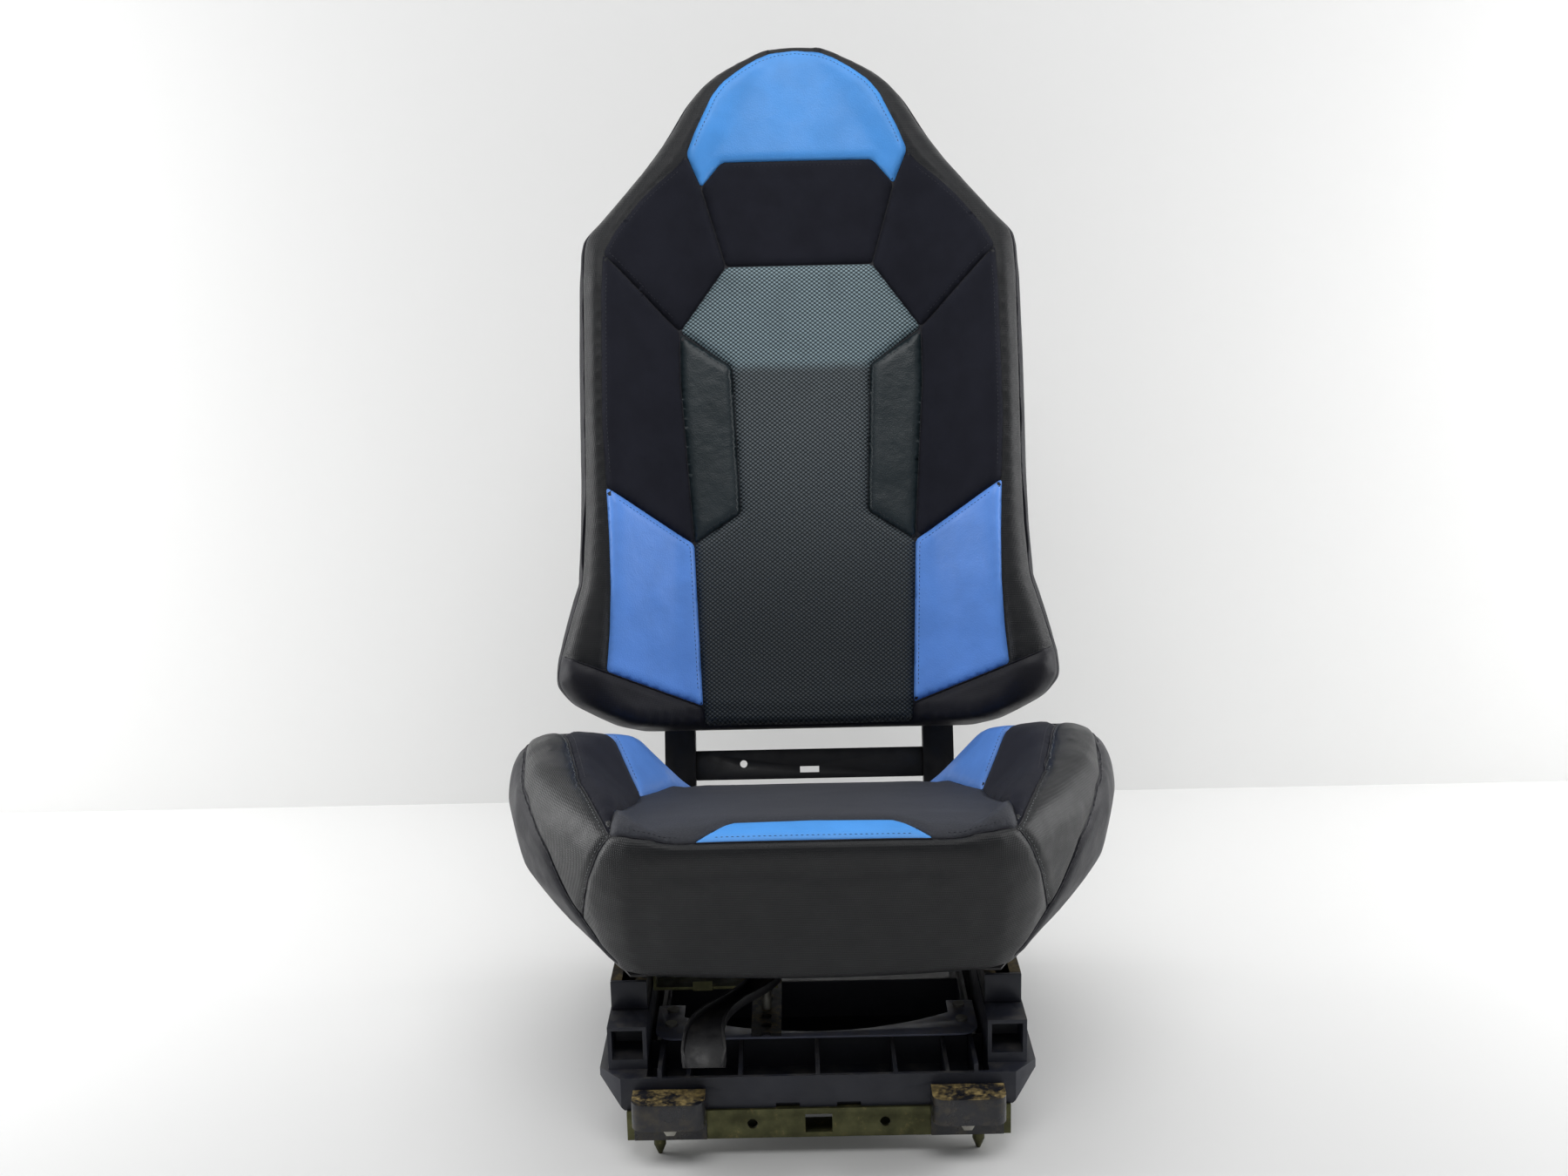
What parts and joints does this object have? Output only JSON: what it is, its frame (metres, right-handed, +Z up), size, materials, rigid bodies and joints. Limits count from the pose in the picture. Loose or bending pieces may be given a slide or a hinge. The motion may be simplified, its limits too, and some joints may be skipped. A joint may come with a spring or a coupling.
{
  "type": "high-back bucket seat on a slide base",
  "caption": "High-back vehicle bucket seat with side bolsters and a steel frame, on a locking slide rail base that drops onto pins and hooks and latches at the rear.",
  "frame": {"origin": "centre between the two front locating pins, on the underside plane of the front cross bar", "axes": "+X across the seat, to the right as seen from the front; +Y from the front to the rear; +Z up"},
  "size_m": [0.631, 0.7647, 1.0698],
  "materials": {
    "tray_plastic": "moulded, fine grain",
    "shell_plastic": "moulded, fine grain",
    "glide_plastic": "satin",
    "plated_steel": "dull yellow-olive zinc plating with rust spots",
    "fastener_steel": "zinc plated",
    "hook_paint": "worn paint, rust on the top faces",
    "plate_paint": "dull paint",
    "rail_paint": "dull paint",
    "frame_paint": "powder coat",
    "lever_paint": "paint, worn bright along its edge",
    "buffer_rubber": "matt",
    "foam": "moulded foam",
    "cushion_skin": "sewn vinyl and fabric panels",
    "back_skin": "sewn vinyl and fabric panels"
  },
  "bodies": {
    "base": {"base_tray": "tray_plastic", "front_cross_bar": "plated_steel", "rear_cross_bar": "plated_steel", "locating_pins": "plated_steel", "rubber_buffers": "buffer_rubber", "bar_bolts": "fastener_steel", "front_hook_left": "hook_paint", "front_hook_right": "hook_paint", "hook_bolts": "fastener_steel", "lock_plate": "plate_paint", "lock_plate_screws": "fastener_steel", "lock_rack": "rail_paint", "lower_rail_left": "rail_paint", "lower_rail_right": "rail_paint", "rail_end_caps": "tray_plastic", "rail_bolts": "fastener_steel", "latch_bracket": "rail_paint", "latch_bolts": "fastener_steel", "latch_pin": "fastener_steel", "latch_spring": "fastener_steel"},
    "rear_latch": {"latch_claw": "rail_paint"},
    "seat": {"upper_rail_left": "rail_paint", "upper_rail_right": "rail_paint", "glide_pads": "glide_plastic", "frame_side_left": "frame_paint", "frame_side_right": "frame_paint", "frame_front_tube": "frame_paint", "frame_middle_tube": "frame_paint", "frame_rear_tube": "frame_paint", "frame_bolts": "fastener_steel", "lever_bracket": "plated_steel", "lever_pin": "fastener_steel", "lever_spring": "fastener_steel", "plunger_bracket": "plated_steel", "cushion_pan": "frame_paint", "cushion_foam": "foam", "cushion_cover": "cushion_skin", "upright_left": "frame_paint", "upright_right": "frame_paint", "upright_bolts": "fastener_steel", "cross_plate": "frame_paint", "back_middle_tube": "frame_paint", "back_top_tube": "frame_paint", "head_plate": "frame_paint", "back_pan": "plated_steel", "back_foam": "foam", "back_cover": "back_skin", "back_shell": "shell_plastic", "shell_screws": "fastener_steel"},
    "lever": {"slide_lever": "lever_paint"},
    "plunger": {"lock_plunger": "fastener_steel"}
  },
  "joints": [
    {"name": "seat_slide", "type": "slide", "parent": "base", "child": "seat", "axis": [0, 1, 0], "range_m": [-0.06, 0.06]},
    {"name": "lever_pull", "type": "hinge", "parent": "seat", "child": "lever", "pos_m": [-0.05, 0.15, 0.131], "axis": [-1, 0, 0], "range_deg": [0, 8], "stiffness_Nm_per_rad": 4, "springref_deg": -8.59},
    {"name": "plunger_lift", "type": "slide", "parent": "seat", "child": "plunger", "axis": [0, 0, 1], "range_m": [0, 0.006]},
    {"name": "latch_release", "type": "hinge", "parent": "base", "child": "rear_latch", "pos_m": [0, 0.463, 0.016], "axis": [1, 0, 0], "range_deg": [0, 35], "stiffness_Nm_per_rad": 0.8, "springref_deg": -17.19}
  ],
  "couplings": [
    {"joint": "plunger_lift", "follows": "lever_pull", "m_per_rad": 0.04}
  ]
}
